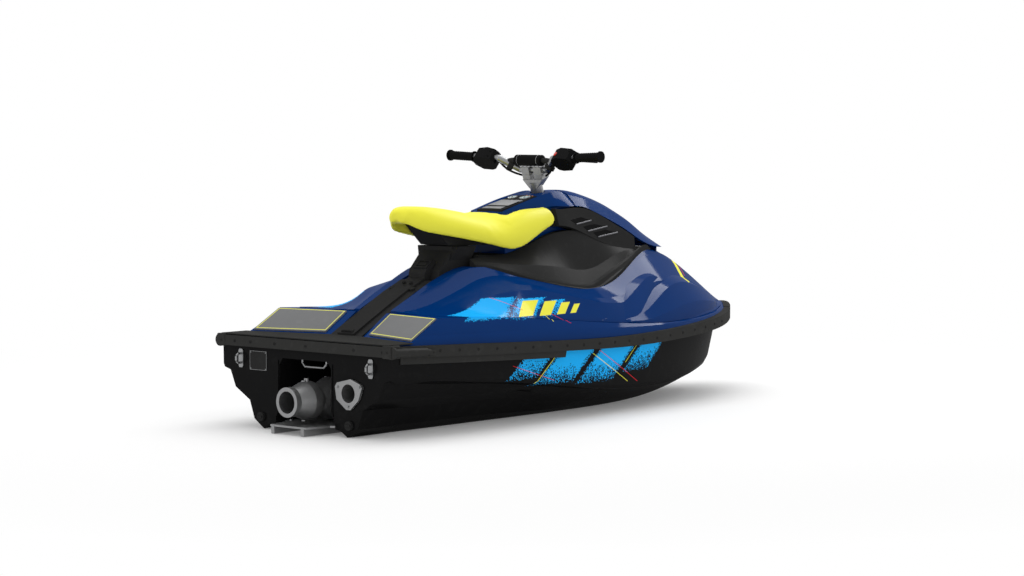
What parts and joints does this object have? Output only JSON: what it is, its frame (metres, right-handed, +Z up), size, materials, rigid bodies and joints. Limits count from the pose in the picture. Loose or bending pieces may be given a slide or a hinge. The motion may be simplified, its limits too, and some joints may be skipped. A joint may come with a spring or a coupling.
{
  "type": "personal watercraft",
  "caption": "Small sit-down personal watercraft with a stepped deep hull, a padded seat on a pedestal, handlebar steering and a jet pump in a stern tunnel.",
  "frame": {"origin": "floor level under the middle of the craft, midway between the nozzle's aft ring and the bow's tip", "axes": "+X forward to the bow, +Y to port, +Z up"},
  "size_m": [2.565, 0.9262, 1.0143],
  "materials": {
    "gelcoat_black": "gloss",
    "gelcoat_blue": "gloss",
    "trim_plastic": "satin",
    "rail_rubber": "matte",
    "mat_foam": "matte",
    "seat_vinyl": "satin",
    "cast_aluminium": "satin",
    "steel": "satin",
    "grip_rubber": "matte",
    "engine_paint": "matte"
  },
  "bodies": {
    "hull": {"hull": "gelcoat_black", "deck": "gelcoat_blue", "rub_rail": "rail_rubber", "cockpit_liner": "trim_plastic", "channel_liner": "trim_plastic", "ramp_mat_port": "mat_foam", "ramp_mat_starboard": "mat_foam", "platform_mat": "rail_rubber", "seat_pedestal": "trim_plastic", "seat_latch": "trim_plastic", "console": "gelcoat_blue", "gauge_panel": "trim_plastic", "vent_panel_port": "trim_plastic", "vent_panel_starboard": "trim_plastic", "steering_post": "steel", "pump_housing": "cast_aluminium", "ride_plate": "cast_aluminium", "intake_grate": "cast_aluminium", "engine_block": "engine_paint", "exhaust_outlet": "cast_aluminium", "tow_eye_port": "steel", "tow_eye_starboard": "steel", "drain_plug_port": "trim_plastic", "drain_plug_starboard": "trim_plastic", "tunnel_handle": "steel"},
    "seat": {"seat_cushion": "seat_vinyl", "seat_pan": "trim_plastic"},
    "hood": {"hood": "gelcoat_blue"},
    "handlebar": {"steering_stem": "cast_aluminium", "handlebar_tube": "steel", "crossbar_pad": "grip_rubber", "grip_port": "grip_rubber", "grip_starboard": "grip_rubber", "switch_housing": "trim_plastic", "throttle_housing": "trim_plastic", "throttle_lever": "trim_plastic"},
    "nozzle": {"jet_nozzle": "cast_aluminium"},
    "impeller": {"impeller": "steel", "drive_shaft": "steel"}
  },
  "joints": [
    {"name": "steering_turn", "type": "hinge", "parent": "hull", "child": "handlebar", "pos_m": [0.0735, 0, 0.846], "axis": [-0.3256, 0, 0.9455], "range_deg": [-25, 25]},
    {"name": "nozzle_swing", "type": "hinge", "parent": "hull", "child": "nozzle", "pos_m": [-1.1835, 0, 0.117], "axis": [0, 0, 1], "range_deg": [-18, 18]},
    {"name": "impeller_spin", "type": "hinge", "parent": "hull", "child": "impeller", "pos_m": [-0.9575, 0, 0.117], "axis": [1, 0, 0], "continuous": true},
    {"name": "hood_lift", "type": "hinge", "parent": "hull", "child": "hood", "pos_m": [0.7905, 0, 0.603], "axis": [0, 1, 0], "range_deg": [0, 35]},
    {"name": "seat_lift", "type": "hinge", "parent": "hull", "child": "seat", "pos_m": [-0.0075, 0, 0.75], "axis": [0, 1, 0], "range_deg": [0, 25]}
  ],
  "couplings": [
    {"joint": "nozzle_swing", "follows": "steering_turn", "ratio": -0.7}
  ]
}
